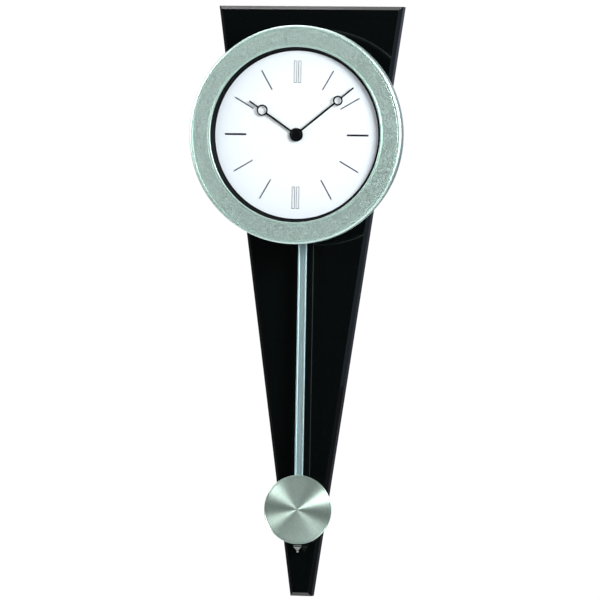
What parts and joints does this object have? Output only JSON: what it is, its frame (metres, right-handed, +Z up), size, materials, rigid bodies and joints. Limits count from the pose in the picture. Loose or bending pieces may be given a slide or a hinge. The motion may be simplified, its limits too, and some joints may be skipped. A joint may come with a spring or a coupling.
{
  "type": "pendulum wall clock",
  "caption": "Round silver-cased battery wall clock on a tapered black board, with a free swinging rod and disc pendulum hanging below the dial.",
  "frame": {"origin": "centre of the hanging keyhole's round hole, on the wall plane at the back of the hanger plate", "axes": "+Z up, the dial faces -Y, +X to the viewer's right"},
  "size_m": [0.217, 0.07, 0.59],
  "materials": {
    "black_lacquer": "high gloss black lacquer on board",
    "zinc_steel": "zinc plated, satin",
    "black_rubber": "matt",
    "dark_case_plastic": "fine moulded texture",
    "satin_bezel": "satin silver, circular grain",
    "mineral_glass": "clear polished",
    "black_ring": "black",
    "white_dial": "matt white",
    "silver_baton": "polished silver",
    "black_hand": "satin black",
    "movement_plastic": "fine moulded texture",
    "plate_plastic": "moulded",
    "wheel_plastic": "moulded acetal",
    "knob_plastic": "knurled",
    "plain_brass": "turned",
    "circuit_laminate": "solder mask",
    "copper_wire": "enamelled wire",
    "stator_iron": "stamped",
    "magnet_ferrite": "sintered",
    "contact_metal": "nickel plated",
    "battery_sleeve": "plain printed sleeve",
    "arm_plastic": "moulded",
    "satin_rod": "satin with bright edges",
    "spun_bob": "spun, radial sheen",
    "bob_steel": "plain",
    "polished_nut": "polished"
  },
  "bodies": {
    "case": {"back_board": "black_lacquer", "hanger_plate": "zinc_steel", "hanger_screws": "zinc_steel", "wall_pads": "black_rubber", "case_drum": "dark_case_plastic", "case_screws": "zinc_steel", "bezel_ring": "satin_bezel", "bezel_screws": "zinc_steel", "lens": "mineral_glass", "inner_ring": "black_ring", "dial_plate": "white_dial", "hour_batons": "silver_baton", "quarter_batons": "silver_baton", "double_batons": "silver_baton", "movement_front": "movement_plastic", "movement_middle_plate": "plate_plastic", "movement_back": "movement_plastic", "hand_bush": "plain_brass", "hex_nut": "plain_brass", "brass_washer": "plain_brass", "rubber_washer": "black_rubber", "circuit_board": "circuit_laminate", "quartz_crystal": "contact_metal", "motor_bobbin": "wheel_plastic", "motor_winding": "copper_wire", "motor_stator": "stator_iron", "battery_positive_contact": "contact_metal", "battery_negative_contact": "contact_metal", "drive_bobbin": "wheel_plastic", "drive_winding": "copper_wire", "pivot_pin": "zinc_steel"},
    "minute_works": {"minute_arbor": "plain_brass", "minute_hand": "black_hand", "hand_cap": "black_hand"},
    "hour_works": {"hour_wheel": "wheel_plastic", "hour_hand": "black_hand"},
    "motion_works": {"motion_wheel": "wheel_plastic"},
    "setting": {"set_knob": "knob_plastic"},
    "centre_train": {"centre_wheel": "plain_brass"},
    "third_train": {"third_wheel": "wheel_plastic"},
    "seconds_train": {"seconds_wheel": "wheel_plastic"},
    "step_train": {"step_wheel": "wheel_plastic"},
    "rotor": {"rotor_pinion": "wheel_plastic", "rotor_magnet": "magnet_ferrite"},
    "cell": {"battery": "battery_sleeve"},
    "pendulum": {"hanger_arm": "arm_plastic", "drive_magnet": "magnet_ferrite", "rod_hook": "zinc_steel", "pendulum_rod": "satin_rod", "rod_stud": "polished_nut"},
    "bob": {"bob_face": "spun_bob", "bob_weight": "bob_steel", "bob_clip": "zinc_steel"},
    "regulator": {"rating_nut": "polished_nut"}
  },
  "joints": [
    {"name": "minute_turn", "type": "hinge", "parent": "case", "child": "minute_works", "pos_m": [0, -0.06, -0.104], "axis": [0, 1, 0], "continuous": true},
    {"name": "hour_turn", "type": "hinge", "parent": "case", "child": "hour_works", "pos_m": [0, -0.06, -0.104], "axis": [0, 1, 0], "continuous": true},
    {"name": "motion_turn", "type": "hinge", "parent": "case", "child": "motion_works", "pos_m": [0.01039, -0.056, -0.098], "axis": [0, 1, 0], "continuous": true},
    {"name": "knob_turn", "type": "hinge", "parent": "case", "child": "setting", "pos_m": [0.02079, -0.042, -0.104], "axis": [0, 1, 0], "continuous": true},
    {"name": "seconds_turn", "type": "hinge", "parent": "case", "child": "seconds_train", "pos_m": [0.0096, -0.05, -0.12063], "axis": [0, 1, 0], "continuous": true},
    {"name": "centre_turn", "type": "hinge", "parent": "case", "child": "centre_train", "pos_m": [0, -0.052, -0.104], "axis": [0, 1, 0], "continuous": true},
    {"name": "third_turn", "type": "hinge", "parent": "case", "child": "third_train", "pos_m": [0.0051, -0.05, -0.11283], "axis": [0, 1, 0], "continuous": true},
    {"name": "step_turn", "type": "hinge", "parent": "case", "child": "step_train", "pos_m": [0.0186, -0.05, -0.12063], "axis": [0, 1, 0], "continuous": true},
    {"name": "rotor_turn", "type": "hinge", "parent": "case", "child": "rotor", "pos_m": [0.0186, -0.05, -0.11363], "axis": [0, 1, 0], "continuous": true},
    {"name": "battery_slide", "type": "slide", "parent": "case", "child": "cell", "axis": [0, 1, 0], "range_m": [0, 0.025]},
    {"name": "pendulum_swing", "type": "hinge", "parent": "case", "child": "pendulum", "pos_m": [0, -0.034, -0.05], "axis": [0, 1, 0], "range_deg": [-5.5, 5.5]},
    {"name": "bob_slide", "type": "slide", "parent": "pendulum", "child": "bob", "axis": [0, 0, 1], "range_m": [0, 0.006]},
    {"name": "nut_turn", "type": "hinge", "parent": "bob", "child": "regulator", "pos_m": [0, -0.02925, -0.517], "axis": [0, 0, 1], "range_deg": [0, 3086]}
  ],
  "couplings": [
    {"joint": "hour_turn", "follows": "minute_turn", "ratio": 0.083333},
    {"joint": "motion_turn", "follows": "minute_turn", "ratio": -0.33333},
    {"joint": "knob_turn", "follows": "minute_turn", "ratio": 1},
    {"joint": "third_turn", "follows": "seconds_turn", "ratio": -0.125},
    {"joint": "centre_turn", "follows": "seconds_turn", "ratio": 0.016667},
    {"joint": "step_turn", "follows": "seconds_turn", "ratio": -5},
    {"joint": "rotor_turn", "follows": "seconds_turn", "ratio": 30},
    {"joint": "nut_turn", "follows": "bob_slide", "rad_per_m": 8976}
  ]
}
